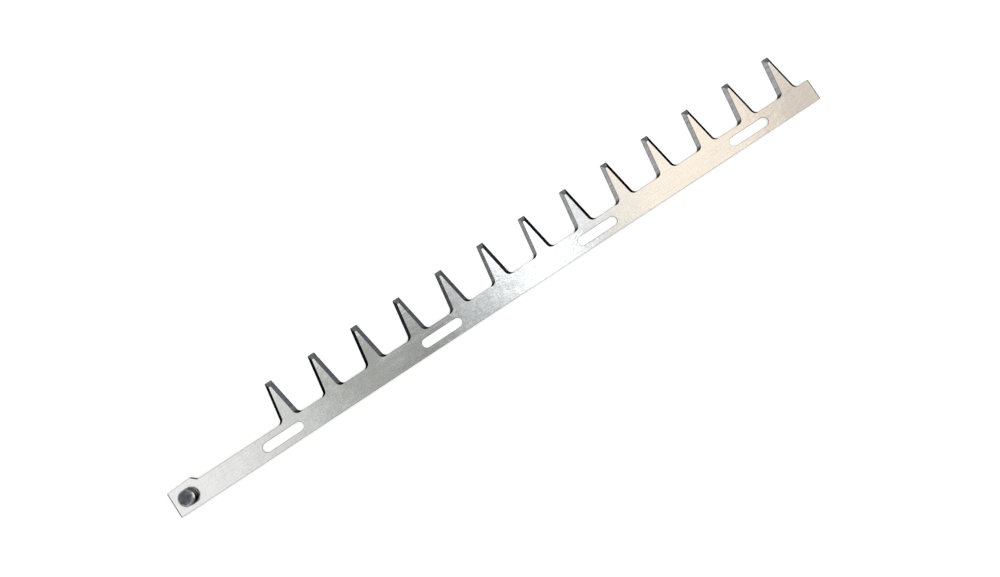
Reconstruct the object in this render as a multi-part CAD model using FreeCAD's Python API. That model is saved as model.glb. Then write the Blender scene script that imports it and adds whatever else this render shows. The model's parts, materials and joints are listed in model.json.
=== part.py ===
import FreeCAD, Part
import math
import os

from FreeCAD import Vector

# One of the two sliding blades of a hedge trimmer, in millimetres.
# The origin is on the drive pin's axis, in the upper face of the bar.
# X runs along the bar to its free end, Y towards the tooth tips, Z up the pin.

# Bar
THICKNESS = 2.5
BAR_WIDTH = 15.0
PIN_TO_BACK_EDGE = 8.5
PIN_TO_DRIVE_END = 10.7
LAST_TOOTH_TO_FREE_END = 15.4

# Pad around the drive pin, which stands out past the toothed edge of the bar.
# It stands out by its rise at the drive end, and further by its flare at the shoulder.
PAD_RISE = 2.4
PAD_FLARE = 0.9
PIN_TO_SHOULDER = 6.4
SHOULDER_LENGTH = 3.6

# Teeth
TOOTH_COUNT = 13
TOOTH_PITCH = 32.0
PIN_TO_FIRST_TOOTH = 78.1
TOOTH_HEIGHT = 27.0
TIP_WIDTH = 4.8
FLANK_ANGLE = 9.2
ROOT_RADIUS = 3.5

# Bevels ground on the upper side of the teeth, down to a narrow upright land
EDGE_LAND = 0.3
FLANK_BEVEL = 2.2
TIP_BEVEL = 3.3

# Guide slots, evenly spaced between the first and the last one
SLOT_COUNT = 4
SLOT_LENGTH = 29.5
SLOT_WIDTH = 6.2
PIN_TO_FIRST_SLOT = 68.5
LAST_SLOT_TO_FREE_END = 52.0

# Drive pin, with a shank through the bar and a tail peened flush with its underside
PIN_DIAMETER = 11.0
PIN_HEIGHT = 5.0
PIN_CHAMFER = 0.9
SHANK_DIAMETER = 7.0
TAIL_DIAMETER = 8.6
TAIL_DEPTH = 0.8

# How far each cutting shape runs past the faces that it cuts
OVERCUT = 1.0

# Places that follow from the sizes above
BACK_EDGE = -PIN_TO_BACK_EDGE
TOOTHED_EDGE = BACK_EDGE + BAR_WIDTH
BAR_MIDDLE = BACK_EDGE + BAR_WIDTH / 2
TIP_LINE = TOOTHED_EDGE + TOOTH_HEIGHT
UNDERSIDE = -THICKNESS
LAND_TOP = UNDERSIDE + EDGE_LAND
BEVEL_HEIGHT = THICKNESS - EDGE_LAND
TOOTH_PLACES = [PIN_TO_FIRST_TOOTH + index * TOOTH_PITCH for index in range(TOOTH_COUNT)]
FREE_END = TOOTH_PLACES[-1] + LAST_TOOTH_TO_FREE_END
SLOT_SPAN = FREE_END - LAST_SLOT_TO_FREE_END - PIN_TO_FIRST_SLOT
SLOT_SPACING = SLOT_SPAN / (SLOT_COUNT - 1)
FLANK_LEAN = math.radians(FLANK_ANGLE)
ROOT_HALF_WIDTH = TIP_WIDTH / 2 + TOOTH_HEIGHT * math.tan(FLANK_LEAN)


def polygon_wire(points):
    """Closed wire through the given points."""
    return Part.makePolygon(points + points[:1])


def upright_prism(points, low, height):
    """Prism on a level outline of (x, y) points."""
    outline = [Vector(x, y, low) for x, y in points]
    return Part.Face(polygon_wire(outline)).extrude(Vector(0, 0, height))


def blank():
    """Flat blank: the bar with its pad, and a band from which the teeth are cut."""
    pad_edge = TOOTHED_EDGE + PAD_RISE
    shoulder_end = PIN_TO_SHOULDER + SHOULDER_LENGTH
    band_start = TOOTH_PLACES[0] - TOOTH_PITCH / 2
    return upright_prism([
        (-PIN_TO_DRIVE_END, BACK_EDGE),
        (FREE_END, BACK_EDGE),
        (FREE_END, TIP_LINE),
        (band_start, TIP_LINE),
        (band_start, TOOTHED_EDGE),
        (shoulder_end, TOOTHED_EDGE),
        (PIN_TO_SHOULDER, pad_edge + PAD_FLARE),
        (-PIN_TO_DRIVE_END, pad_edge),
    ], UNDERSIDE, THICKNESS)


def gap_face(centre, side, reach, level):
    """Level face of the gap beside a tooth: its flank, its root arc and a floor out past reach.

    side is 1 on the free end's side of the tooth and -1 on the pin's side.
    """
    top = TIP_LINE + OVERCUT
    slope = math.tan(FLANK_LEAN)
    arc_x = ROOT_HALF_WIDTH + ROOT_RADIUS / math.cos(FLANK_LEAN) - ROOT_RADIUS * slope
    arc_y = TOOTHED_EDGE + ROOT_RADIUS
    flank_angle = math.pi + FLANK_LEAN
    floor_angle = math.pi * 1.5
    far = max(reach, arc_x) + OVERCUT

    def point(x, y):
        return Vector(centre + side * x, y, level)

    def on_arc(angle):
        return point(arc_x + ROOT_RADIUS * math.cos(angle), arc_y + ROOT_RADIUS * math.sin(angle))

    flank_top = point(ROOT_HALF_WIDTH - (top - TOOTHED_EDGE) * slope, top)
    arc_start = on_arc(flank_angle)
    arc_middle = on_arc((flank_angle + floor_angle) / 2)
    arc_end = on_arc(floor_angle)
    floor_end = point(far, TOOTHED_EDGE)
    far_top = point(far, top)
    edges = [
        Part.LineSegment(flank_top, arc_start).toShape(),
        Part.Arc(arc_start, arc_middle, arc_end).toShape(),
        Part.LineSegment(arc_end, floor_end).toShape(),
        Part.LineSegment(floor_end, far_top).toShape(),
        Part.LineSegment(far_top, flank_top).toShape(),
    ]
    return Part.Face(Part.Wire(edges))


def flank_cutters(centre, side, reach):
    """Cutters for one flank: the sheared gap, and the bevel that leans into the tooth."""
    sheared = gap_face(centre, side, reach, UNDERSIDE - OVERCUT)
    bevel = gap_face(centre, side, reach, LAND_TOP)
    rise = BEVEL_HEIGHT + OVERCUT
    lean = -side * FLANK_BEVEL * rise / BEVEL_HEIGHT
    return [
        sheared.extrude(Vector(0, 0, THICKNESS + 2 * OVERCUT)),
        bevel.extrude(Vector(lean, 0, rise)),
    ]


def tooth_gaps():
    """Cutters for both flanks of every tooth."""
    half_pitch = TOOTH_PITCH / 2
    cutters = []
    for centre in TOOTH_PLACES:
        cutters += flank_cutters(centre, -1, half_pitch)
    for centre in TOOTH_PLACES[:-1]:
        cutters += flank_cutters(centre, 1, half_pitch)
    cutters += flank_cutters(TOOTH_PLACES[-1], 1, LAST_TOOTH_TO_FREE_END)
    return cutters


def tip_bevel():
    """One slanted cut across all the tips, from the upper face down to the land."""
    over = TIP_BEVEL * OVERCUT / BEVEL_HEIGHT
    start = TOOTH_PLACES[0] - TOOTH_PITCH / 2 - OVERCUT
    section = [
        Vector(start, TIP_LINE - TIP_BEVEL - over, OVERCUT),
        Vector(start, TIP_LINE + over, LAND_TOP - OVERCUT),
        Vector(start, TIP_LINE + over, OVERCUT),
    ]
    return Part.Face(polygon_wire(section)).extrude(Vector(FREE_END + OVERCUT - start, 0, 0))


def guide_slot(centre):
    """Cutter for one slot with round ends."""
    radius = SLOT_WIDTH / 2
    half_run = SLOT_LENGTH / 2 - radius
    low = UNDERSIDE - OVERCUT
    left = centre - half_run
    right = centre + half_run
    top = BAR_MIDDLE + radius
    bottom = BAR_MIDDLE - radius
    edges = [
        Part.LineSegment(Vector(left, bottom, low), Vector(right, bottom, low)).toShape(),
        Part.Arc(
            Vector(right, bottom, low), Vector(right + radius, BAR_MIDDLE, low), Vector(right, top, low)
        ).toShape(),
        Part.LineSegment(Vector(right, top, low), Vector(left, top, low)).toShape(),
        Part.Arc(
            Vector(left, top, low), Vector(left - radius, BAR_MIDDLE, low), Vector(left, bottom, low)
        ).toShape(),
    ]
    return Part.Face(Part.Wire(edges)).extrude(Vector(0, 0, THICKNESS + 2 * OVERCUT))


def guide_slots():
    """Cutters for the row of slots along the middle of the bar."""
    return [guide_slot(PIN_TO_FIRST_SLOT + index * SLOT_SPACING) for index in range(SLOT_COUNT)]


def turned(profile):
    """Solid turned about the pin's axis from (radius, height) points."""
    face = Part.Face(polygon_wire([Vector(radius, 0, height) for radius, height in profile]))
    return face.revolve(Vector(0, 0, 0), Vector(0, 0, 1), 360)


def pin_foot():
    """Outline of the pin's shank and peened tail, which fill the hole in the bar."""
    return [
        (0, UNDERSIDE),
        (TAIL_DIAMETER / 2, UNDERSIDE),
        (SHANK_DIAMETER / 2, UNDERSIDE + TAIL_DEPTH),
        (SHANK_DIAMETER / 2, 0),
    ]


def toothed_blade():
    """The whole flat steel piece."""
    pin_hole = turned(pin_foot() + [(0, 0)])
    cutters = tooth_gaps() + [tip_bevel()] + guide_slots() + [pin_hole]
    return blank().cut(cutters).removeSplitter()


def drive_pin():
    """The turned pin, standing on the upper face."""
    radius = PIN_DIAMETER / 2
    outline = pin_foot() + [
        (radius, 0),
        (radius, PIN_HEIGHT - PIN_CHAMFER),
        (radius - PIN_CHAMFER, PIN_HEIGHT),
        (0, PIN_HEIGHT),
    ]
    return turned(outline)


def main():
    os.makedirs("parts", exist_ok=True)
    toothed_blade().exportStep("parts/toothed_blade.step")
    drive_pin().exportStep("parts/drive_pin.step")


main()
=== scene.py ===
"""Looks of a hedge trimmer blade: a toothed steel bar with a dark drive pin, lying on a pale floor.

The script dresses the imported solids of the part, in metres and in their frame. X runs along the bar
to its free end, Y towards the tooth tips and Z up the drive pin.
"""

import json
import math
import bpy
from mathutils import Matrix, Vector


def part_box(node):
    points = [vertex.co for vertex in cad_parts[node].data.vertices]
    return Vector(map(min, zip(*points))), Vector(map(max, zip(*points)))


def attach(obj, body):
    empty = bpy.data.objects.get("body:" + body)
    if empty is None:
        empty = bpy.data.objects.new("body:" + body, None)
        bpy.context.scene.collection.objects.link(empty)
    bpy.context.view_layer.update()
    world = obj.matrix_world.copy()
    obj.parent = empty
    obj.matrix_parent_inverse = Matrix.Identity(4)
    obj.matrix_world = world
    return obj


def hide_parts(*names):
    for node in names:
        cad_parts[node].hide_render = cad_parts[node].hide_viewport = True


bl_info = {
    "name": "Hedge Trimmer Blade",
    "version": (1, 0, 0),
    "blender": (4, 5, 0),
    "location": "View3D > Sidebar > Blade",
    "description": "Makes a toothed blade, its drive pin and a plain stage around a packed frame",
    "category": "Object",
}

from typing import NamedTuple

import bmesh
import bpy
from bpy.props import FloatProperty, FloatVectorProperty, IntProperty, PointerProperty
from bpy.types import Operator, Panel, PropertyGroup
from mathutils import Vector

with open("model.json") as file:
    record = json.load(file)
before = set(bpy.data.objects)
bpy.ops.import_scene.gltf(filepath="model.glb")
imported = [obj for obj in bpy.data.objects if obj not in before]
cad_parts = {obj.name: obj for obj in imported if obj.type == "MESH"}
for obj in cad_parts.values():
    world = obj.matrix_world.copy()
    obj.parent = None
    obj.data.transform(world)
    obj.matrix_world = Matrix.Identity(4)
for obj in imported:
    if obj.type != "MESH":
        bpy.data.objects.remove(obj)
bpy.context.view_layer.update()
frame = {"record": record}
BLADE_LOW, BLADE_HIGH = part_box("toothed_blade")
PIN_LOW, PIN_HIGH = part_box("drive_pin")
MOUNTS = {mount["name"]: mount for mount in frame["record"]["mounts"]}
SLOT_PAIRS = [MOUNTS["guide_slots_inner"], MOUNTS["guide_slots_outer"]]

MILLIMETRE = 0.001

# Places of the blade and the pin that their solids give
DRIVE_END = BLADE_LOW.x
FREE_END = BLADE_HIGH.x
BACK_EDGE = BLADE_LOW.y
TIP_LINE = BLADE_HIGH.y
UNDERSIDE = BLADE_LOW.z
UPPER_FACE = BLADE_HIGH.z
PIN_RADIUS = (PIN_HIGH.x - PIN_LOW.x) / 2
PIN_TOP_LEVEL = PIN_HIGH.z

# Fineness of the meshes
ROOT_STEPS = 12
SLOT_STEPS = 20
PIN_SEGMENTS = 96
CORNER_STEPS = 3
SHARP_ANGLE = math.radians(15)

# How far the middle of a rounded edge goes back towards its sharp corner
ROLL_BULGE = 0.414

# Ring of points up the blade's edge at which its walls end and the rounding starts
WALL_TOP_RING = 3

# Finishes of the blade, in the order of its material slots
FACE = 0
SHEARED = 1
PIN_SIDE_BEVEL = 2
FREE_SIDE_BEVEL = 3
TIP_BEVEL = 4
SLOT_WALL = 5
CUT_END = 6

# Finishes of the pin, in the order of its material slots
PIN_BLACK = 0
PIN_TOP = 1
PIN_WORN = 2

# Share of its gloss that dark steel keeps where it is seen at a flat angle
DARK_EDGE_GLOSS = 0.25

# Patterns in lines: how often they repeat along X, Y and Z, for each metre
FACE_GRAIN = (14.0, 3000.0, 3000.0)
FACE_BROAD_GRAIN = (9.0, 640.0, 640.0)
FACE_STROKES = (900.0, 45.0, 45.0)
FACE_STREAKS = (70.0, 200.0, 200.0)
FACE_SCRATCHES = (40.0, 160.0, 160.0)
EDGE_LINES = (2600.0, 2600.0, 220.0)
BEVEL_LINES = (160.0, 1200.0, 160.0)
PIN_SIDE_LINES = (60.0, 60.0, 5200.0)
PIN_RINGS = (3200.0, 1.0, 1.0)
PIN_BROAD_RINGS = (800.0, 1.0, 1.0)
PIN_SCRATCHES = (300.0, 300.0, 300.0)
WORN_LINES = (80.0, 80.0, 4200.0)

# Patterns in patches: how often they repeat in all directions, for each metre
FACE_CLOUDS = 55.0
FACE_SWELLS = 90.0
FACE_SPECKLE = 800.0
EDGE_CLOUDS = 260.0
BEVEL_CLOUDS = 240.0
PIN_SIDE_CLOUDS = 420.0
PIN_TOP_CLOUDS = 560.0
WORN_CLOUDS = 500.0

# Width of a scratch, as a share of the pattern that it follows
FACE_SCRATCH_WIDTH = 0.012
PIN_SCRATCH_WIDTH = 0.02

# Stretch of each noise from which its pattern is made
NOISE_MIDDLE = 0.5
LINE_NOISE = (0.3, 0.7)
CLOUD_NOISE = (0.35, 0.68)
SCRATCH_NOISE = (0.56, 0.64)

# Relief that each pattern leaves: its strength and its depth
SWELL_RELIEF = (1.0, 0.0001)
STREAK_RELIEF = (1.0, 0.00009)
GRAIN_RELIEF = (0.25, 0.00001)
PUNCH_RELIEF = (0.4, 0.00003)
TOOL_RELIEF = (0.3, 0.00002)

# Roughness of each finish, at its smoothest and at its dullest
FACE_ROUGHNESS = (0.1, 0.2)
SHEARED_ROUGHNESS = (0.299, 0.46)
SLOT_ROUGHNESS = (0.221, 0.34)
CUT_END_ROUGHNESS = (0.325, 0.5)
BEVEL_ROUGHNESS = (0.26, 0.4)
PIN_SIDE_ROUGHNESS = (0.24, 0.36)
PIN_TOP_ROUGHNESS = (0.34, 0.46)
WORN_ROUGHNESS = (0.22, 0.34)

# Stretch of the face's grain in which it dulls the steel
DULL_GRAIN = (0.4, 1.0)

# From an end of the bar, how far its painted shadow line reaches onto the face, and where it has
# faded out
END_LINE_FULL = 0.0006
END_LINE_GONE = 0.0008

# Teeth, counted from nought at the first one, between which the tone of the bevels changes: a painted
# reflection of darker and lighter surroundings
PIN_SIDE_TONE_TEETH = (2.2, 8.0)
FREE_SIDE_TONE_TEETH = (3.6, 5.6)
TIP_TONE_TEETH = (0.0, 1.0)

# Above the floor of a gap, where the painted shade on the bevel starts and where it is darkest
ROOT_SHADE = (0.0028, 0.0008)

# Where the dark border of a bevel starts, as a share of the way from its middle to its edge
BORDER_START = 0.65

# Grey painted reflection on the pin's side: where it grows towards the teeth, in shares of the
# radius, its lower and upper limits, in shares of the height, and how much of it is left above them
PAINTED_LIGHT_FACING = (-0.7, 0.6)
PAINTED_LIGHT_FOOT = (0.08, 0.2)
PAINTED_LIGHT_TOP = (0.36, 0.52)
PAINTED_LIGHT_ABOVE = 0.22

# Darker middle and lighter rim of the pin's top, in shares of its radius, and how far they are
# off its axis
TOP_MIDDLE = (0.1, 0.6)
TOP_RIM = (0.72, 0.82)
RIM_SHIFT = (-0.0003, 0.0005)

# Masks that grow or fade along a stretch
GROWING = (0.0, 1.0)
FADING = (1.0, 0.0)

# Sockets of a node that mixes colours
MIX_SHARE = 0
MIX_FIRST = 6
MIX_SECOND = 7
MIX_RESULT = 2

# Floor
FLOOR_REACH = 5.0
FLOOR_GAP = 0.00005

# Cards above the bar: their heights, and their fronts and backs across the bar
CARD_HEIGHT = 1.0
PANEL_HEIGHT = 0.99
CARD_FRONT = -0.5
CARD_BACK = 0.39
PANEL_BACK = 0.6

# Line across the cards up to which the bar mirrors them, and past which the teeth do
TOOTH_LINE = 0.07

# Where the cards start along the bar, one after another
PALE_START = -0.295
GREY_START = -0.12
DARK_START = 0.07
MIDDLE_START = 0.178
COOL_BACK_START = 0.294
COOL_START = 0.33
COOL_STOP = 0.444
GAP_START = 0.446
CREAM_START = 0.555
WARM_START = 0.91
WARM_STOP = 1.25

# Grey walls beside the bar
WALL_DISTANCE = 1.3
WALL_SPAN = (-1.8, 2.3)
WALL_RISE = (0.1, 1.25)

# Upright panel past the free end, for the highlight on the pin's edge
SIDE_PANEL_X = 1.5
SIDE_PANEL_DEPTH = (-1.0, 0.6)
SIDE_PANEL_RISE = (0.55, 0.87)

# Camera
SENSOR_WIDTH = 36.0
NEAREST_VIEW = 0.01
FARTHEST_VIEW = 100.0


def length(name, description, default):
    """A length in metres that a user may change."""
    return FloatProperty(
        name=name,
        description=description,
        default=default,
        min=0.0,
        precision=5,
        subtype="DISTANCE",
        unit="LENGTH",
    )


def colour(name, description, default):
    """A plain colour that a user may change."""
    return FloatVectorProperty(
        name=name,
        description=description,
        default=default,
        min=0.0,
        max=1.0,
        size=3,
        subtype="COLOR",
    )


def glow(name, description, default):
    """A colour of light, which may be brighter than white."""
    return FloatVectorProperty(
        name=name,
        description=description,
        default=default,
        min=0.0,
        soft_max=4.0,
        size=3,
        subtype="COLOR",
    )


class BladeSizes(PropertyGroup):
    """Sizes of the toothed blade."""

    bar_width: length("Bar width", "From the back edge to the floor of the tooth gaps", 0.015)
    pad_rise: length("Pad rise", "How far the pad stands out past the bar at its end", 0.0024)
    pad_flare: length("Pad flare", "How much further the pad stands out at its shoulder", 0.0009)
    shoulder_start: length("Shoulder start", "From the pin to where the pad narrows", 0.0064)
    shoulder_length: length("Shoulder length", "Length of the slope from the pad to the bar", 0.0036)
    tooth_count: IntProperty(
        name="Teeth", description="Number of teeth in the row", default=13, min=1
    )
    tooth_pitch: length("Tooth pitch", "From one tooth to the next", 0.032)
    first_tooth: length("First tooth", "From the pin to the middle of the first tooth", 0.0781)
    tip_width: length("Tip width", "Width of a tooth at its tip", 0.0048)
    flank_angle: FloatProperty(
        name="Flank angle",
        description="How far each side of a tooth leans",
        default=math.radians(9.2),
        subtype="ANGLE",
        unit="ROTATION",
    )
    root_radius: length("Root radius", "Radius between a tooth and the floor of the gap", 0.0035)
    edge_land: length("Edge land", "Upright strip left under the ground bevels", 0.0003)
    flank_bevel: length("Flank bevel", "Width of the bevel on a tooth's side, from above", 0.0022)
    tip_bevel: length("Tip bevel", "Depth of the bevel on a tooth's tip, from above", 0.0033)
    sheared_roll: length("Sheared roll", "Rounding of the edges that the punch leaves", 0.00022)
    ground_roll: length("Ground roll", "Rounding of the edges of the ground bevels", 0.00012)
    end_roll: length("End roll", "Rounding of the edges at the two ends", 0.0005)
    corner_run: length("Corner run", "From a corner to where its end's rounding fades out", 0.0008)
    lower_roll: length("Lower roll", "Break of the edges at the underside", 0.0001)


class PinSizes(PropertyGroup):
    """Sizes of the drive pin."""

    chamfer: length("Chamfer", "Chamfer around the pin's top", 0.0009)
    shank_diameter: length("Shank diameter", "Part of the pin inside the bar", 0.007)
    tail_diameter: length("Tail diameter", "Peened end at the underside", 0.0086)
    tail_depth: length("Tail depth", "Depth of the peened end", 0.0008)
    edge_round: length("Edge rounding", "Rounding of the pin's edges", 0.00015)


class BladeFinish(PropertyGroup):
    """Colours of the steel."""

    face: colour("Face", "Brushed steel of the two faces", (0.88, 0.88, 0.87))
    face_shade: colour("Face shade", "Steel in the lines of the grain", (0.76, 0.765, 0.755))
    face_blue: colour("Face blue", "Cool tint in the cloudy marks", (0.79, 0.81, 0.825))
    sheared: colour("Sheared edge", "Steel where the punch has cut it", (0.21, 0.213, 0.215))
    sheared_shade: colour("Sheared shade", "Lines down the cut edge", (0.11, 0.11, 0.115))
    # Slot walls painted near white as painted light, so that the slots show no shade
    painted_light: colour("Rubbed slot", "Slot walls that the guide bolts rub", (0.86, 0.86, 0.85))
    slot_wall_shade: colour("Rubbed shade", "Lines down the slot walls", (0.62, 0.62, 0.61))
    # Near-black steel of the ends, the shoulder and the edges of the slots: a painted shade line
    # along the outline
    cut_edge_painted_shade: colour("Cut end", "The bar's two ends and its shoulder", (0.035, 0.035, 0.034))
    cut_end_shade: colour("Cut end shade", "Lines down the ends and shoulder", (0.02, 0.02, 0.02))
    # Dark, light and middle tones of the bevels: painted reflection of dark and light surroundings
    bevel_dark_reflection: colour("Dark bevel", "Bevels in their darkest stretch", (0.012, 0.012, 0.0165))
    # Grinding lines and bevel borders, and also the painted shade in the roots of the teeth
    bevel_line_and_shade: colour("Bevel line", "Grinding lines and borders of bevels", (0.002, 0.002, 0.004))
    bevel_light_reflection: colour("Light bevel", "Bevels in their lightest stretch", (0.505, 0.515, 0.512))
    bevel_middle_reflection: colour("Middle bevel", "Bevels of a middle tone", (0.112, 0.116, 0.131))
    tip: colour("Tip bevel", "Bevels at the tips", (0.345, 0.348, 0.346))


class PinFinish(PropertyGroup):
    """Colours of the drive pin."""

    # Blackened sides, near black on the back edge's side as painted shade, and grey towards the teeth
    # as painted reflection
    black: colour("Black", "Blackened sides, on the back edge's side", (0.014, 0.014, 0.015))
    painted_light: colour("Rubbed", "Sides rubbed grey towards the teeth", (0.55, 0.555, 0.54))
    black_shade: colour("Black shade", "Turned lines in the sides", (0.008, 0.0085, 0.009))
    top: colour("Top", "Slate tone of the top", (0.2, 0.218, 0.234))
    top_shade: colour("Top shade", "Turned lines in the top", (0.05, 0.057, 0.066))
    rim: colour("Rim", "Lighter rim of the top", (0.46, 0.48, 0.5))
    worn: colour("Worn", "Bare steel on the chamfer", (0.38, 0.395, 0.41))
    worn_shade: colour("Worn shade", "Black left on the worn places", (0.14, 0.148, 0.156))


class StageSettings(PropertyGroup):
    """Camera, floor and light."""

    camera_place: FloatVectorProperty(
        name="Camera place",
        description="Where the camera stands",
        default=(0.210236, -0.017732, 0.480905),
        size=3,
        subtype="TRANSLATION",
        unit="LENGTH",
    )
    camera_turn: FloatVectorProperty(
        name="Camera turn",
        description="How the camera is turned",
        default=(0.061628, -0.017736, -0.581643),
        size=3,
        subtype="EULER",
        unit="ROTATION",
    )
    camera_lens: FloatProperty(
        name="Camera lens",
        description="Focal length in millimetres on a sensor 36 millimetres wide",
        default=27.166,
        min=1.0,
    )
    floor: colour("Floor", "Colour of the pale floor", (0.8, 0.8, 0.8))
    floor_lift: FloatProperty(
        name="Floor lift",
        description="Light that makes the floor white as a background",
        default=0.46,
        min=0.0,
    )
    sky: glow("Surrounding light", "Soft light from all around", (1.0, 1.0, 1.0))
    pale_card: glow("Pale card", "Card over the bar's drive end", (0.74, 0.75, 0.73))
    grey_card: glow("Grey card", "Card over the first half of the bar", (0.39, 0.398, 0.38))
    dark_card: glow("Dark card", "Darkest card, before the bar's middle", (0.215, 0.22, 0.214))
    middle_card: glow("Middle card", "Card before the bright panel", (0.6, 0.62, 0.635))
    cool_panel: glow("Cool panel", "Bright panel over the bar's middle", (1.8, 1.86, 1.9))
    gap_card: glow("Gap card", "Card between the two panels, over the bar", (0.61, 0.645, 0.655))
    gap_back: glow("Gap back", "Card between the two panels, over the teeth", (0.6, 0.7, 0.82))
    cream_panel: glow("Cream panel", "Panel over the bar's second half", (1.19, 1.055, 0.895))
    warm_card: glow("Warm card", "Card over the bar's free end", (0.63, 0.56, 0.485))
    warm_back: glow("Warm back", "Card over the last tooth", (0.78, 0.69, 0.6))
    wall: glow("Walls", "Grey walls that the steel mirrors in side views", (0.42, 0.43, 0.44))
    side_panel: glow("Side panel", "Low panel past the free end", (4.4, 4.4, 4.4))


class OutlinePoint(NamedTuple):
    """One corner of the blade's outline, and the finish of the wall that follows it."""

    low: Vector
    high: Vector
    roll: float
    finish: int


class ProfilePoint(NamedTuple):
    """One corner of the pin's turned outline, and the finish of the stretch that follows it."""

    radius: float
    height: float
    finish: int


def toothed_edge(sizes):
    """Level of the floors of the tooth gaps."""
    return BACK_EDGE + sizes.bar_width


def tooth_side(sizes, centre, side):
    """Points up one side of a tooth, from the floor of the gap along the root arc to the tip.

    side is 1 on the free end's side of the tooth and -1 on the pin's side.
    """
    lean = sizes.flank_angle
    slope = math.tan(lean)
    radius = sizes.root_radius
    floor = toothed_edge(sizes)
    half_tip = sizes.tip_width / 2
    half_root = half_tip + (TIP_LINE - floor) * slope
    arc_x = half_root + radius / math.cos(lean) - radius * slope
    arc_y = floor + radius
    floor_angle = math.pi * 1.5
    turn = math.pi + lean - floor_angle
    finish = FREE_SIDE_BEVEL if side > 0 else PIN_SIDE_BEVEL
    shift = Vector((-side * sizes.flank_bevel, 0))
    points = []
    for step in range(ROOT_STEPS + 1):
        share = step / ROOT_STEPS
        angle = floor_angle + share * turn
        reach = arc_x + radius * math.cos(angle)
        low = Vector((centre + side * reach, arc_y + radius * math.sin(angle)))
        roll = sizes.sheared_roll + share * (sizes.ground_roll - sizes.sheared_roll)
        points.append(OutlinePoint(low, low + shift, roll, finish))
    half_crest = half_tip + sizes.tip_bevel * slope - sizes.flank_bevel
    low = Vector((centre + side * half_tip, TIP_LINE))
    high = Vector((centre + side * half_crest, TIP_LINE - sizes.tip_bevel))
    points.append(OutlinePoint(low, high, sizes.ground_roll, finish))
    return points


def tooth_outline(sizes, centre):
    """Points round one tooth, from the free end's side over the tip to the pin's side."""
    up = tooth_side(sizes, centre, 1)
    down = list(reversed(tooth_side(sizes, centre, -1)))
    up[-1] = up[-1]._replace(finish=TIP_BEVEL)
    down[-1] = down[-1]._replace(finish=SHEARED)
    return up + down


def blade_outline(sizes):
    """Outline of the blade, anticlockwise from the back corner of its drive end."""
    edge = toothed_edge(sizes)
    pad_edge = edge + sizes.pad_rise
    pad_slope = sizes.pad_flare / (sizes.shoulder_start - DRIVE_END)
    shoulder_end = sizes.shoulder_start + sizes.shoulder_length
    run = sizes.corner_run

    def plain(x, y):
        corner = Vector((x, y))
        return OutlinePoint(corner, corner, sizes.sheared_roll, SHEARED)

    def at_end(x, y, finish):
        return plain(x, y)._replace(roll=sizes.end_roll, finish=finish)

    # The free end, the shoulder and the drive end take the near-black steel, a painted shade line
    points = [
        at_end(DRIVE_END, BACK_EDGE, SHEARED),
        plain(DRIVE_END + run, BACK_EDGE),
        plain(FREE_END - run, BACK_EDGE),
        at_end(FREE_END, BACK_EDGE, CUT_END),
        at_end(FREE_END, edge, SHEARED),
        plain(FREE_END - run, edge),
    ]
    for index in reversed(range(sizes.tooth_count)):
        points += tooth_outline(sizes, sizes.first_tooth + index * sizes.tooth_pitch)
    points += [
        plain(shoulder_end, edge)._replace(finish=CUT_END),
        plain(sizes.shoulder_start, pad_edge + sizes.pad_flare),
        plain(DRIVE_END + run, pad_edge + pad_slope * run),
        at_end(DRIVE_END, pad_edge, CUT_END),
    ]
    return points


def slot_outline(sizes, centre_x, centre_y, radius, slot_length):
    """Outline of one guide slot, clockwise, so that the steel is on its left."""
    half_run = slot_length / 2 - radius
    points = []
    for side, start in ((1, math.pi / 2), (-1, -math.pi / 2)):
        for step in range(SLOT_STEPS + 1):
            angle = start - math.pi * step / SLOT_STEPS
            x = centre_x + side * half_run + radius * math.cos(angle)
            corner = Vector((x, centre_y + radius * math.sin(angle)))
            points.append(OutlinePoint(corner, corner, sizes.sheared_roll, SLOT_WALL))
    return points


def slot_outlines(sizes):
    """Outlines of the guide slots, from the mounts that the record states."""
    outlines = []
    for pair in SLOT_PAIRS:
        dims = pair["dims"]
        half_spacing = dims["spacing_x_mm"] * MILLIMETRE / 2
        radius = dims["hole_r_mm"] * MILLIMETRE
        slot_length = dims["slot_length_mm"] * MILLIMETRE
        for side in (-1, 1):
            x = pair["pos_m"][0] + side * half_spacing
            outlines.append(slot_outline(sizes, x, pair["pos_m"][1], radius, slot_length))
    return outlines


def inward_steps(corners):
    """Moves that take the corners of a closed outline one unit into the steel on its left."""
    steps = []
    count = len(corners)
    for index, corner in enumerate(corners):
        before = (corner - corners[index - 1]).normalized()
        after = (corners[(index + 1) % count] - corner).normalized()
        left_before = Vector((-before.y, before.x))
        left_after = Vector((-after.y, after.x))
        steps.append((left_before + left_after) / (1 + left_before.dot(left_after)))
    return steps


def edge_rings(sizes, outline):
    """Rings of points up the blade's edge, from the underside to the upper face."""
    land_top = UNDERSIDE + sizes.edge_land
    climb = UPPER_FACE - land_top
    low_steps = inward_steps([point.low for point in outline])
    high_steps = inward_steps([point.high for point in outline])
    columns = []
    for point, low_step, high_step in zip(outline, low_steps, high_steps):
        foot = (point.low + low_step * sizes.lower_roll).to_3d()
        outer = point.low.to_3d()
        land = outer + Vector((0, 0, land_top))
        corner = point.high.to_3d() + Vector((0, 0, UPPER_FACE))
        below = corner.lerp(land, point.roll / climb)
        beside = corner + (high_step * point.roll).to_3d()
        bend = below.lerp(beside, 0.5).lerp(corner, ROLL_BULGE)
        foot += Vector((0, 0, UNDERSIDE))
        outer += Vector((0, 0, UNDERSIDE + sizes.lower_roll))
        columns.append((foot, outer, land, below, bend, beside))
    return list(zip(*columns))


def bridge(mesh, lower, upper, finishes):
    """Strip of faces between two rings of the same number of points."""
    count = len(lower)
    for index in range(count):
        after = (index + 1) % count
        face = mesh.faces.new((lower[index], lower[after], upper[after], upper[index]))
        face.material_index = finishes[index]


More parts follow.
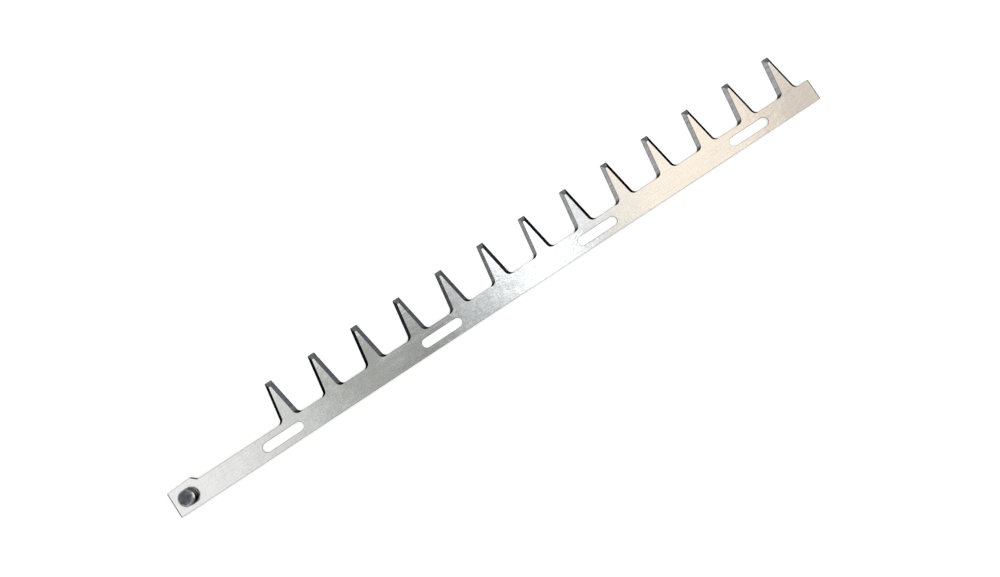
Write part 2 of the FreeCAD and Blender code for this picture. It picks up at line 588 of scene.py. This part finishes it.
def cap(mesh, loops, direction, finish):
    """Flat face inside the first loop and outside the others, facing up or down."""
    edges = []
    for loop in loops:
        for index, vertex in enumerate(loop):
            edges.append(mesh.edges.get((vertex, loop[index - 1])))
    made = bmesh.ops.triangle_fill(mesh, use_beauty=True, use_dissolve=False, edges=edges)
    faces = [item for item in made["geom"] if isinstance(item, bmesh.types.BMFace)]
    if not faces:
        raise RuntimeError("a flat face of the blade could not be filled")
    for face in faces:
        face.normal_update()
        if face.normal.z * direction < 0:
            face.normal_flip()
        face.material_index = finish


def blade_wall(mesh, sizes, outline):
    """Edge of the blade along one outline, with a painted shade line where it rounds over into a
    slot.

    Gives its loops in the underside and in the upper face.
    """
    rings = [[mesh.verts.new(place) for place in ring] for ring in edge_rings(sizes, outline)]
    walls = [point.finish for point in outline]
    # The rounding into a slot takes the near-black steel as a painted shade line
    rolls = [CUT_END if finish == SLOT_WALL else finish for finish in walls]
    for index, (lower, upper) in enumerate(zip(rings, rings[1:])):
        bridge(mesh, lower, upper, walls if index < WALL_TOP_RING else rolls)
    return rings[0], rings[-1]


def circle(radius, height):
    """Clockwise ring of points about the pin's axis."""
    ring = []
    for step in range(PIN_SEGMENTS):
        angle = -math.tau * step / PIN_SEGMENTS
        ring.append(Vector((radius * math.cos(angle), radius * math.sin(angle), height)))
    return ring


def pin_hole_wall(mesh, pin):
    """Hole that the pin fills. Gives its loops in the underside and in the upper face."""
    levels = [
        (pin.tail_diameter / 2, UNDERSIDE),
        (pin.shank_diameter / 2, UNDERSIDE + pin.tail_depth),
        (pin.shank_diameter / 2, UPPER_FACE),
    ]
    rings = [[mesh.verts.new(place) for place in circle(*level)] for level in levels]
    for lower, upper in zip(rings, rings[1:]):
        bridge(mesh, lower, upper, [SHEARED] * PIN_SEGMENTS)
    return rings[0], rings[-1]


def finished_object(name, mesh, materials):
    """Object made from a bmesh, with smooth curves and sharp edges."""
    data = bpy.data.meshes.new(name)
    mesh.to_mesh(data)
    mesh.free()
    for material in materials:
        data.materials.append(material)
    data.shade_smooth()
    data.set_sharp_from_angle(angle=SHARP_ANGLE)
    piece = bpy.data.objects.new(name, data)
    bpy.context.scene.collection.objects.link(piece)
    return piece


def rounded_profile(points, radius):
    """The same turned outline with its outer corners rounded."""
    result = [points[0]]
    for before, point, after in zip(points, points[1:], points[2:]):
        corner = Vector((point.radius, point.height))
        into = Vector((before.radius, before.height)) - corner
        out = Vector((after.radius, after.height)) - corner
        reach = min(radius, into.length / 3, out.length / 3)
        start = corner + into.normalized() * reach
        end = corner + out.normalized() * reach
        for step in range(CORNER_STEPS + 1):
            share = step / CORNER_STEPS
            place = start.lerp(corner, share).lerp(corner.lerp(end, share), share)
            finish = before.finish if share < 0.5 else point.finish
            result.append(ProfilePoint(place.x, place.y, finish))
    result.append(points[-1])
    return result


def pin_profile(pin):
    """Turned outline of the pin, from the middle of its tail to the middle of its top."""
    shank = pin.shank_diameter / 2
    points = [
        ProfilePoint(0, UNDERSIDE, PIN_TOP),
        ProfilePoint(pin.tail_diameter / 2, UNDERSIDE, PIN_BLACK),
        ProfilePoint(shank, UNDERSIDE + pin.tail_depth, PIN_BLACK),
        ProfilePoint(shank, UPPER_FACE, PIN_BLACK),
        ProfilePoint(PIN_RADIUS, UPPER_FACE, PIN_BLACK),
        ProfilePoint(PIN_RADIUS, PIN_TOP_LEVEL - pin.chamfer, PIN_WORN),
        ProfilePoint(PIN_RADIUS - pin.chamfer, PIN_TOP_LEVEL, PIN_TOP),
        ProfilePoint(0, PIN_TOP_LEVEL, PIN_TOP),
    ]
    return rounded_profile(points, pin.edge_round)


def turned_mesh(profile):
    """Closed mesh turned about the pin's axis."""
    mesh = bmesh.new()
    tail = mesh.verts.new((0, 0, profile[0].height))
    crown = mesh.verts.new((0, 0, profile[-1].height))
    rings = []
    for point in profile[1:-1]:
        ring = reversed(circle(point.radius, point.height))
        rings.append([mesh.verts.new(place) for place in ring])
    for point, lower, upper in zip(profile[1:], rings, rings[1:]):
        bridge(mesh, lower, upper, [point.finish] * PIN_SEGMENTS)
    for index in range(PIN_SEGMENTS):
        after = (index + 1) % PIN_SEGMENTS
        under = mesh.faces.new((tail, rings[0][after], rings[0][index]))
        under.material_index = profile[0].finish
        over = mesh.faces.new((crown, rings[-1][index], rings[-1][after]))
        over.material_index = profile[-2].finish
    return mesh


def add_node(tree, kind, inputs, **settings):
    """Adds a node with its settings. Each input gets a plain value, or a link from a socket."""
    node = tree.nodes.new(kind)
    for name, value in settings.items():
        setattr(node, name, value)
    for name, value in inputs.items():
        if isinstance(value, bpy.types.NodeSocket):
            tree.links.new(value, node.inputs[name])
        else:
            node.inputs[name].default_value = value
    return node


def calculated(tree, operation, *values):
    """Result of one step of arithmetic on its values, each a socket or a plain number."""
    inputs = dict(enumerate(values))
    return add_node(tree, "ShaderNodeMath", inputs, operation=operation).outputs["Value"]


def distance_from(tree, value, middle):
    """How far a value is from a middle, on either side."""
    return calculated(tree, "ABSOLUTE", calculated(tree, "SUBTRACT", value, middle))


def ranged(tree, value, span, source=GROWING, smooth=False):
    """A value that goes from one end of a span to the other as its source goes along a stretch."""
    inputs = {
        "Value": value,
        "From Min": source[0],
        "From Max": source[1],
        "To Min": span[0],
        "To Max": span[1],
    }
    kind = "SMOOTHSTEP" if smooth else "LINEAR"
    return add_node(tree, "ShaderNodeMapRange", inputs, interpolation_type=kind).outputs["Result"]


def roughened(tree, mask, most, source=GROWING):
    """Roughness that a mask adds to a finish."""
    return ranged(tree, mask, (0.0, most), source)


def solid(tone):
    """A tone as an input: a socket as it is, or a plain colour that lets nothing through."""
    return tone if isinstance(tone, bpy.types.NodeSocket) else (*tone, 1.0)


def mix_colour(tree, share, first, second, amount=None):
    """Mixes two tones by a mask, or by a part of it. Each tone is a socket or a plain colour."""
    if amount is not None:
        share = calculated(tree, "MULTIPLY", share, amount)
    inputs = {MIX_SHARE: share, MIX_FIRST: solid(first), MIX_SECOND: solid(second)}
    return add_node(tree, "ShaderNodeMix", inputs, data_type="RGBA").outputs[MIX_RESULT]


def split_axes(tree, position):
    """The three sockets of a place, by the names of its axes."""
    return add_node(tree, "ShaderNodeSeparateXYZ", {"Vector": position}).outputs


def new_group(name, inputs, outputs):
    """Empty shader node group with the named inputs and outputs."""
    tree = bpy.data.node_groups.new(name, "ShaderNodeTree")
    for socket, kind in inputs.items():
        tree.interface.new_socket(socket, in_out="INPUT", socket_type=kind)
    for socket in outputs:
        tree.interface.new_socket(socket, in_out="OUTPUT", socket_type="NodeSocketFloat")
    return tree, tree.nodes.new("NodeGroupInput").outputs


def stretched_place(tree, given):
    """The place that a group is given, times its scale along each axis."""
    inputs = {0: given["Position"], 1: given["Scale"]}
    return add_node(tree, "ShaderNodeVectorMath", inputs, operation="MULTIPLY").outputs["Vector"]


def noise_at(tree, place, values):
    """Soft noise at a place."""
    return add_node(tree, "ShaderNodeTexNoise", {"Vector": place, **values}).outputs["Fac"]


def steel_lines_group():
    """Long fine lines, as a belt, a wheel or a lathe leaves them."""
    name = "Steel Lines"
    if name in bpy.data.node_groups:
        return bpy.data.node_groups[name]
    inputs = {"Position": "NodeSocketVector", "Scale": "NodeSocketVector"}
    tree, given = new_group(name, inputs, ["Lines"])
    place = stretched_place(tree, given)
    noise = noise_at(tree, place, {"Scale": 1.0, "Detail": 4.0, "Roughness": 0.62})
    lines = ranged(tree, noise, GROWING, LINE_NOISE)
    add_node(tree, "NodeGroupOutput", {"Lines": lines})
    return tree


def cloudy_tone_group():
    """Soft uneven patches, as handling and rust guard leave them."""
    name = "Cloudy Tone"
    if name in bpy.data.node_groups:
        return bpy.data.node_groups[name]
    inputs = {"Position": "NodeSocketVector", "Scale": "NodeSocketFloat"}
    tree, given = new_group(name, inputs, ["Cloud", "Swell"])
    values = {"Scale": given["Scale"], "Detail": 2.0, "Roughness": 0.5, "Distortion": 0.3}
    swell = noise_at(tree, given["Position"], values)
    cloud = ranged(tree, swell, GROWING, CLOUD_NOISE, smooth=True)
    add_node(tree, "NodeGroupOutput", {"Cloud": cloud, "Swell": swell})
    return tree


def hair_scratches_group():
    """Sparse hairline scratches that follow bent contour lines."""
    name = "Hair Scratches"
    if name in bpy.data.node_groups:
        return bpy.data.node_groups[name]
    inputs = {
        "Position": "NodeSocketVector",
        "Scale": "NodeSocketVector",
        "Width": "NodeSocketFloat",
    }
    tree, given = new_group(name, inputs, ["Scratches"])
    place = stretched_place(tree, given)
    path = noise_at(tree, place, {"Scale": 1.0, "Detail": 1.0})
    spread = noise_at(tree, place, {"Scale": 0.9, "Detail": 2.0})
    distance = distance_from(tree, path, NOISE_MIDDLE)
    line = ranged(tree, distance, FADING, (0.0, given["Width"]))
    sparse = ranged(tree, spread, GROWING, SCRATCH_NOISE)
    scratches = calculated(tree, "MULTIPLY", line, sparse)
    add_node(tree, "NodeGroupOutput", {"Scratches": scratches})
    return tree


def place_group(tree, group, position, values, output=0):
    """Places a shared effect in a material, with its own values. Gives its first or named output."""
    inputs = {"Position": position, **values}
    return add_node(tree, "ShaderNodeGroup", inputs, node_tree=group).outputs[output]


def lines_at(tree, position, scale):
    """Steel lines of one scale."""
    return place_group(tree, steel_lines_group(), position, {"Scale": scale})


def clouds_at(tree, position, scale, output="Cloud"):
    """Cloudy patches of one scale."""
    return place_group(tree, cloudy_tone_group(), position, {"Scale": scale}, output)


def scratches_at(tree, position, scale, width):
    """Hair scratches of one scale."""
    return place_group(tree, hair_scratches_group(), position, {"Scale": scale, "Width": width})


def new_material(name):
    """Material with an empty node tree. Gives it, its tree and its output."""
    material = bpy.data.materials.new(name)
    material.use_nodes = True
    tree = material.node_tree
    tree.nodes.clear()
    return material, tree, tree.nodes.new("ShaderNodeOutputMaterial")


def new_steel(name, edge_gloss=1.0):
    """Metal with no look yet. Gives it, its node tree, its shader and the place on the object."""
    material, tree, output = new_material(name)
    shader = tree.nodes.new("ShaderNodeBsdfPrincipled")
    shader.inputs["Metallic"].default_value = 1.0
    shader.inputs["Specular Tint"].default_value = (edge_gloss, edge_gloss, edge_gloss, 1.0)
    tree.links.new(shader.outputs["BSDF"], output.inputs["Surface"])
    place = tree.nodes.new("ShaderNodeTexCoord")
    return material, tree, shader, place.outputs["Object"]


def add_bump(tree, shader, *layers):
    """Fine relief in layers, each of them a height and its relief."""
    inputs = {}
    for height, (strength, depth) in layers:
        inputs.update({"Height": height, "Strength": strength, "Distance": depth})
        bump = add_node(tree, "ShaderNodeBump", inputs)
        inputs["Normal"] = bump.outputs["Normal"]
    tree.links.new(inputs["Normal"], shader.inputs["Normal"])


def add_look(tree, shader, tone, *roughness):
    """Links a tone to a shader, and the sum of one or more shares of roughness."""
    total = roughness[0]
    for share in roughness[1:]:
        total = calculated(tree, "ADD", total, share)
    tree.links.new(tone, shader.inputs["Base Color"])
    tree.links.new(total, shader.inputs["Roughness"])


def end_shadow_lines(tree, position):
    """Mask that is one in a narrow line along each end of the bar, where a shadow line is painted."""
    along = split_axes(tree, position)["X"]
    drive = ranged(tree, along, FADING, (DRIVE_END + END_LINE_FULL, DRIVE_END + END_LINE_GONE))
    free = ranged(tree, along, GROWING, (FREE_END - END_LINE_GONE, FREE_END - END_LINE_FULL))
    return calculated(tree, "ADD", drive, free)


def brushed_face_material(finish):
    """Pale steel with a grain along the bar, strokes across it, cloudy marks and a few scratches."""
    material, tree, shader, position = new_steel("brushed_steel_face")
    fine = lines_at(tree, position, FACE_GRAIN)
    broad = lines_at(tree, position, FACE_BROAD_GRAIN)
    across = lines_at(tree, position, FACE_STROKES)
    streaks = lines_at(tree, position, FACE_STREAKS)
    cloud = clouds_at(tree, position, FACE_CLOUDS)
    speckle = clouds_at(tree, position, FACE_SPECKLE)
    swell = clouds_at(tree, position, FACE_SWELLS, "Swell")
    scratches = scratches_at(tree, position, FACE_SCRATCHES, FACE_SCRATCH_WIDTH)
    tone = mix_colour(tree, fine, finish.face, finish.face_shade, amount=0.22)
    tone = mix_colour(tree, broad, tone, finish.face_shade, amount=0.18)
    tone = mix_colour(tree, across, tone, finish.face_shade, amount=0.12)
    tone = mix_colour(tree, cloud, tone, finish.face_blue, amount=0.18)
    tone = mix_colour(tree, speckle, tone, finish.face_shade, amount=0.25)
    # Painted shadow line along each end of the bar
    tone = mix_colour(tree, end_shadow_lines(tree, position), tone, finish.cut_edge_painted_shade)
    add_look(
        tree,
        shader,
        tone,
        ranged(tree, fine, FACE_ROUGHNESS, DULL_GRAIN),
        roughened(tree, cloud, most=0.04),
        roughened(tree, broad, most=0.06, source=DULL_GRAIN),
        roughened(tree, across, most=0.05),
        roughened(tree, speckle, most=0.03),
        roughened(tree, scratches, most=0.12),
    )
    add_bump(tree, shader, (swell, SWELL_RELIEF), (streaks, STREAK_RELIEF), (fine, GRAIN_RELIEF))
    return material


def upright_edge_material(name, plain, shade, roughness, edge_gloss=1.0):
    """Steel of an upright edge, with the lines that the punch leaves down it."""
    material, tree, shader, position = new_steel(name, edge_gloss)
    lines = lines_at(tree, position, EDGE_LINES)
    cloud = clouds_at(tree, position, EDGE_CLOUDS)
    tone = mix_colour(tree, lines, plain, shade, amount=0.7)
    tone = mix_colour(tree, cloud, tone, shade, amount=0.4)
    add_look(tree, shader, tone, ranged(tree, lines, roughness))
    add_bump(tree, shader, (lines, PUNCH_RELIEF))
    return material


def border_share(tree, height, low, high):
    """Mask that is one along the upper and lower border of a bevel, and zero in between."""
    half = (high - low) / 2
    distance = distance_from(tree, height, low + half)
    return ranged(tree, distance, GROWING, (BORDER_START * half, half))


def ground_bevel_material(name, sizes, finish, tones, teeth):
    """Ground bevel with the wheel's lines across it, whose tone changes along the bar.

    tones are its first and last tone, and teeth are those between which it changes; the change is
    painted reflection of darker and lighter surroundings. It is darker along its borders, and darker
    in the root of the tooth as painted shade.
    """
    material, tree, shader, position = new_steel(name, DARK_EDGE_GLOSS)
    lines = lines_at(tree, position, BEVEL_LINES)
    cloud = clouds_at(tree, position, BEVEL_CLOUDS)
    axes = split_axes(tree, position)
    stretch = [sizes.first_tooth + tooth * sizes.tooth_pitch for tooth in teeth]
    along = ranged(tree, axes["X"], GROWING, stretch, smooth=True)
    rise = [toothed_edge(sizes) + height for height in ROOT_SHADE]
    root = ranged(tree, axes["Y"], GROWING, rise, smooth=True)
    border = border_share(tree, axes["Z"], UNDERSIDE + sizes.edge_land, UPPER_FACE)
    # Painted reflection: the bevel's tone changes along the bar
    tone = mix_colour(tree, along, *tones)
    tone = mix_colour(tree, lines, tone, finish.bevel_line_and_shade, amount=0.5)
    tone = mix_colour(tree, border, tone, finish.bevel_line_and_shade, amount=0.45)
    # Painted shade in the root of the tooth
    tone = mix_colour(tree, root, tone, finish.bevel_line_and_shade, amount=0.85)
    gloss = ranged(tree, lines, BEVEL_ROUGHNESS)
    add_look(tree, shader, tone, gloss, roughened(tree, cloud, most=0.08))
    add_bump(tree, shader, (lines, TOOL_RELIEF))
    return material


def blade_materials(sizes, finish):
    """Materials of the blade, in the order of its material slots."""
    # Each bevel's first and last tone; the change between them along the bar is painted reflection
    bevels = [
        ("ground_bevel_pin_side", finish.bevel_dark_reflection, finish.bevel_light_reflection, PIN_SIDE_TONE_TEETH),
        ("ground_bevel_free_side", finish.bevel_middle_reflection, finish.bevel_dark_reflection, FREE_SIDE_TONE_TEETH),
        ("ground_bevel_tip", finish.tip, finish.tip, TIP_TONE_TEETH),
    ]
    materials = [
        brushed_face_material(finish),
        upright_edge_material(
            "sheared_steel_edge", finish.sheared, finish.sheared_shade, SHEARED_ROUGHNESS
        ),
    ]
    for name, first, last, teeth in bevels:
        materials.append(ground_bevel_material(name, sizes, finish, (first, last), teeth))
    materials += [
        # Slot walls: near white as painted light
        upright_edge_material(
            "painted_light_slot_wall", finish.painted_light, finish.slot_wall_shade, SLOT_ROUGHNESS
        ),
        # Ends, shoulder and slot edges: near-black steel as a painted shade line
        upright_edge_material(
            "cut_bar_end_painted_shade", finish.cut_edge_painted_shade, finish.cut_end_shade, CUT_END_ROUGHNESS, DARK_EDGE_GLOSS
        ),
    ]
    return materials


def shares_of(size, shares):
    """Stretch that is given in shares of a size."""
    return [size * share for share in shares]


def blackened_pin_material(finish):
    """Blackened turned steel of the pin's sides, turned grey towards the teeth by painted reflection.
    """
    material, tree, shader, position = new_steel("blackened_pin_side", DARK_EDGE_GLOSS)
    lines = lines_at(tree, position, PIN_SIDE_LINES)
    cloud = clouds_at(tree, position, PIN_SIDE_CLOUDS)
    axes = split_axes(tree, position)
    across = shares_of(PIN_RADIUS, PAINTED_LIGHT_FACING)
    facing = ranged(tree, axes["Y"], GROWING, across, smooth=True)
    upper = shares_of(PIN_TOP_LEVEL, PAINTED_LIGHT_TOP)
    band = ranged(tree, axes["Z"], (1.0, PAINTED_LIGHT_ABOVE), upper, smooth=True)
    lower = shares_of(PIN_TOP_LEVEL, PAINTED_LIGHT_FOOT)
    foot = ranged(tree, axes["Z"], GROWING, lower, smooth=True)
    # Painted reflection greys the side towards the teeth and partway up; the back edge's side keeps
    # painted shade
    painted_light = calculated(tree, "MULTIPLY", calculated(tree, "MULTIPLY", facing, band), foot)
    tone = mix_colour(tree, painted_light, finish.black, finish.painted_light)
    tone = mix_colour(tree, lines, tone, finish.black_shade, amount=0.5)
    gloss = ranged(tree, lines, PIN_SIDE_ROUGHNESS)
    add_look(tree, shader, tone, gloss, roughened(tree, cloud, most=0.1))
    add_bump(tree, shader, (lines, TOOL_RELIEF))
    return material


def axis_distance(tree, position, shift=(0.0, 0.0)):
    """Distance from the pin's axis, or from a line that is shifted from it."""
    inputs = {0: position, 1: (1.0, 1.0, 0.0), 2: (-shift[0], -shift[1], 0.0)}
    flat = add_node(tree, "ShaderNodeVectorMath", inputs, operation="MULTIPLY_ADD")
    inputs = {0: flat.outputs["Vector"]}
    return add_node(tree, "ShaderNodeVectorMath", inputs, operation="LENGTH").outputs["Value"]


def pin_top_material(finish):
    """Slate grey top of the pin, with turned rings, a darker middle and a lighter worn rim."""
    material, tree, shader, position = new_steel("turned_pin_top")
    inputs = {"X": axis_distance(tree, position)}
    ring_place = add_node(tree, "ShaderNodeCombineXYZ", inputs).outputs["Vector"]
    rings = lines_at(tree, ring_place, PIN_RINGS)
    broad = lines_at(tree, ring_place, PIN_BROAD_RINGS)
    cloud = clouds_at(tree, position, PIN_TOP_CLOUDS)
    scratches = scratches_at(tree, position, PIN_SCRATCHES, PIN_SCRATCH_WIDTH)
    reach = axis_distance(tree, position, RIM_SHIFT)
    rim = ranged(tree, reach, GROWING, shares_of(PIN_RADIUS, TOP_RIM), smooth=True)
    middle = ranged(tree, reach, FADING, shares_of(PIN_RADIUS, TOP_MIDDLE), smooth=True)
    tone = mix_colour(tree, rings, finish.top, finish.top_shade, amount=0.4)
    tone = mix_colour(tree, broad, tone, finish.top_shade, amount=0.45)
    tone = mix_colour(tree, middle, tone, finish.top_shade, amount=0.4)
    tone = mix_colour(tree, rim, tone, finish.rim)
    tone = mix_colour(tree, cloud, tone, finish.top_shade, amount=0.65)
    tone = mix_colour(tree, scratches, tone, finish.worn_shade, amount=0.8)
    gloss = ranged(tree, rings, PIN_TOP_ROUGHNESS)
    add_look(tree, shader, tone, gloss, roughened(tree, cloud, most=0.08))
    add_bump(tree, shader, (rings, TOOL_RELIEF))
    return material


def worn_pin_material(finish):
    """Places on the pin where the black has worn off the steel."""
    material, tree, shader, position = new_steel("worn_pin_edge")
    lines = lines_at(tree, position, WORN_LINES)
    cloud = clouds_at(tree, position, WORN_CLOUDS)
    tone = mix_colour(tree, cloud, finish.worn, finish.worn_shade, amount=0.7)
    tone = mix_colour(tree, lines, tone, finish.worn_shade, amount=0.4)
    add_look(tree, shader, tone, ranged(tree, lines, WORN_ROUGHNESS))
    add_bump(tree, shader, (lines, TOOL_RELIEF))
    return material


def dress(piece, node):
    """Puts a piece in the place of its solid."""
    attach(piece, "root")
    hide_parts(node)


def flat_sheet(name, corners, material):
    """One flat sheet of the stage."""
    data = bpy.data.meshes.new(name)
    data.from_pydata(corners, [], [tuple(range(len(corners)))])
    data.materials.append(material)
    sheet = bpy.data.objects.new(name, data)
    bpy.context.scene.collection.objects.link(sheet)
    return sheet


def light_card(name, corners, light):
    """Card of even light, which the steel mirrors and the camera doesn't see."""
    material, tree, output = new_material(name)
    inputs = {"Color": (*light, 1.0), "Strength": 1.0}
    emission = add_node(tree, "ShaderNodeEmission", inputs)
    tree.links.new(emission.outputs["Emission"], output.inputs["Surface"])
    flat_sheet(name, corners, material).visible_camera = False


def level_corners(span, depth, z):
    """Corners of a level sheet, from its span along the bar and its depth across it."""
    start, stop = span
    front, back = depth
    return [(start, front, z), (stop, front, z), (stop, back, z), (start, back, z)]


def wall_corners(y):
    """Corners of a wall beside the bar."""
    start, stop = WALL_SPAN
    low, high = WALL_RISE
    return [(start, y, low), (stop, y, low), (stop, y, high), (start, y, high)]


def side_panel_corners():
    """Corners of the upright panel past the free end."""
    x = SIDE_PANEL_X
    front, back = SIDE_PANEL_DEPTH
    low, high = SIDE_PANEL_RISE
    return [(x, front, low), (x, back, low), (x, back, high), (x, front, high)]


def make_cards(stage):
    """Cards and panels that the steel mirrors."""
    whole = (CARD_FRONT, CARD_BACK)
    over_bar = (CARD_FRONT, TOOTH_LINE)
    over_teeth = (TOOTH_LINE, CARD_BACK)
    deep = (CARD_FRONT, PANEL_BACK)
    deep_over_teeth = (TOOTH_LINE, PANEL_BACK)
    dark_span = (DARK_START, MIDDLE_START)
    cool_span = (COOL_START, COOL_STOP)
    cool_back_span = (COOL_BACK_START, COOL_START)
    gap_span = (GAP_START, CREAM_START)
    warm_span = (WARM_START, WARM_STOP)
    cards = [
        ("pale_card", (PALE_START, GREY_START), whole, CARD_HEIGHT, stage.pale_card),
        ("grey_card", (GREY_START, DARK_START), whole, CARD_HEIGHT, stage.grey_card),
        ("dark_card", dark_span, over_bar, CARD_HEIGHT, stage.dark_card),
        ("dark_card_back", dark_span, over_teeth, CARD_HEIGHT, stage.grey_card),
        ("middle_card", (MIDDLE_START, GAP_START), whole, CARD_HEIGHT, stage.middle_card),
        ("cool_panel", cool_span, deep, PANEL_HEIGHT, stage.cool_panel),
        ("cool_panel_back", cool_back_span, deep_over_teeth, PANEL_HEIGHT, stage.cool_panel),
        ("gap_card", gap_span, over_bar, CARD_HEIGHT, stage.gap_card),
        ("gap_card_back", gap_span, over_teeth, CARD_HEIGHT, stage.gap_back),
        ("cream_panel", (CREAM_START, WARM_START), deep, CARD_HEIGHT, stage.cream_panel),
        ("warm_card", warm_span, over_bar, CARD_HEIGHT, stage.warm_card),
        ("warm_card_back", warm_span, over_teeth, CARD_HEIGHT, stage.warm_back),
    ]
    for name, span, depth, height, light in cards:
        light_card(name, level_corners(span, depth, height), light)
    light_card("front_wall", wall_corners(-WALL_DISTANCE), stage.wall)
    light_card("back_wall", wall_corners(WALL_DISTANCE), stage.wall)
    light_card("side_panel", side_panel_corners(), stage.side_panel)


def background_share(tree):
    """One for the rays that show the floor as a background, in view, in gloss and through glass."""
    rays = tree.nodes.new("ShaderNodeLightPath").outputs
    seen = calculated(tree, "MAXIMUM", rays["Is Camera Ray"], rays["Is Glossy Ray"])
    return calculated(tree, "MAXIMUM", seen, rays["Is Transmission Ray"])


def floor_material(stage):
    """Pale floor that reads as white and keeps the object's shadow."""
    material, tree, output = new_material("pale_floor")
    paint = add_node(tree, "ShaderNodeBsdfDiffuse", {"Color": (*stage.floor, 1.0)})
    level = calculated(tree, "MULTIPLY", background_share(tree), stage.floor_lift)
    inputs = {"Color": (1.0, 1.0, 1.0, 1.0), "Strength": level}
    lift = add_node(tree, "ShaderNodeEmission", inputs)
    inputs = {0: paint.outputs["BSDF"], 1: lift.outputs["Emission"]}
    both = add_node(tree, "ShaderNodeAddShader", inputs)
    tree.links.new(both.outputs["Shader"], output.inputs["Surface"])
    return material


def make_floor(stage):
    """Floor just under the blade."""
    reach = (-FLOOR_REACH, FLOOR_REACH)
    corners = level_corners(reach, reach, UNDERSIDE - FLOOR_GAP)
    flat_sheet("floor", corners, floor_material(stage))


def make_surrounding_light(stage):
    """Even soft light from all around."""
    world = bpy.data.worlds.new("studio")
    world.use_nodes = True
    background = world.node_tree.nodes["Background"]
    background.inputs["Color"].default_value = (*stage.sky, 1.0)
    background.inputs["Strength"].default_value = 1.0
    bpy.context.scene.world = world


def make_camera(stage):
    """Camera that looks down on the blade as the photograph does."""
    data = bpy.data.cameras.new("camera")
    data.sensor_fit = "HORIZONTAL"
    data.sensor_width = SENSOR_WIDTH
    data.lens = stage.camera_lens
    data.clip_start = NEAREST_VIEW
    data.clip_end = FARTHEST_VIEW
    camera = bpy.data.objects.new("camera", data)
    camera.rotation_mode = "XYZ"
    camera.location = stage.camera_place
    camera.rotation_euler = stage.camera_turn
    bpy.context.scene.collection.objects.link(camera)
    bpy.context.scene.camera = camera


class BLADE_OT_make_toothed_blade(Operator):
    """Makes the toothed steel bar with its guide slots"""

    bl_idname = "blade.make_toothed_blade"
    bl_label = "Toothed blade"

    def execute(self, context):
        sizes = context.scene.blade_sizes
        pin = context.scene.pin_sizes
        mesh = bmesh.new()
        walls = [blade_wall(mesh, sizes, blade_outline(sizes))]
        for outline in slot_outlines(sizes):
            walls.append(blade_wall(mesh, sizes, outline))
        walls.append(pin_hole_wall(mesh, pin))
        cap(mesh, [low for low, high in walls], -1, FACE)
        cap(mesh, [high for low, high in walls], 1, FACE)
        materials = blade_materials(sizes, context.scene.blade_finish)
        piece = finished_object("toothed_blade_steel", mesh, materials)
        dress(piece, "toothed_blade")
        return {"FINISHED"}


class BLADE_OT_make_drive_pin(Operator):
    """Makes the dark turned pin that drives the blade"""

    bl_idname = "blade.make_drive_pin"
    bl_label = "Drive pin"

    def execute(self, context):
        finish = context.scene.pin_finish
        mesh = turned_mesh(pin_profile(context.scene.pin_sizes))
        materials = [
            blackened_pin_material(finish),
            pin_top_material(finish),
            worn_pin_material(finish),
        ]
        piece = finished_object("drive_pin_steel", mesh, materials)
        dress(piece, "drive_pin")
        return {"FINISHED"}


class BLADE_OT_make_stage(Operator):
    """Makes the floor, the light and the camera"""

    bl_idname = "blade.make_stage"
    bl_label = "Stage"

    def execute(self, context):
        stage = context.scene.blade_stage
        make_floor(stage)
        make_surrounding_light(stage)
        make_cards(stage)
        make_camera(stage)
        context.scene.view_settings.view_transform = "Standard"
        return {"FINISHED"}


class BLADE_PT_sidebar(Panel):
    """Lists what the script can make"""

    bl_idname = "BLADE_PT_sidebar"
    bl_label = "Hedge trimmer blade"
    bl_space_type = "VIEW_3D"
    bl_region_type = "UI"
    bl_category = "Blade"

    def draw(self, context):
        column = self.layout.column()
        for operator in OPERATORS:
            column.operator(operator.bl_idname)


OPERATORS = (
    BLADE_OT_make_toothed_blade,
    BLADE_OT_make_drive_pin,
    BLADE_OT_make_stage,
)

SETTINGS = {
    "blade_sizes": BladeSizes,
    "pin_sizes": PinSizes,
    "blade_finish": BladeFinish,
    "pin_finish": PinFinish,
    "blade_stage": StageSettings,
}

CLASSES = (*SETTINGS.values(), *OPERATORS, BLADE_PT_sidebar)


def register():
    """Registers the settings, the operators and the panel."""
    for item in CLASSES:
        bpy.utils.register_class(item)
    for name, group in SETTINGS.items():
        setattr(bpy.types.Scene, name, PointerProperty(type=group))


def unregister():
    """Takes all of it away again."""
    for name in SETTINGS:
        delattr(bpy.types.Scene, name)
    for item in reversed(CLASSES):
        bpy.utils.unregister_class(item)


def main():
    """Makes the pieces and the stage."""
    register()
    bpy.ops.blade.make_toothed_blade()
    bpy.ops.blade.make_drive_pin()
    bpy.ops.blade.make_stage()


if __name__ == "__main__":
    main()
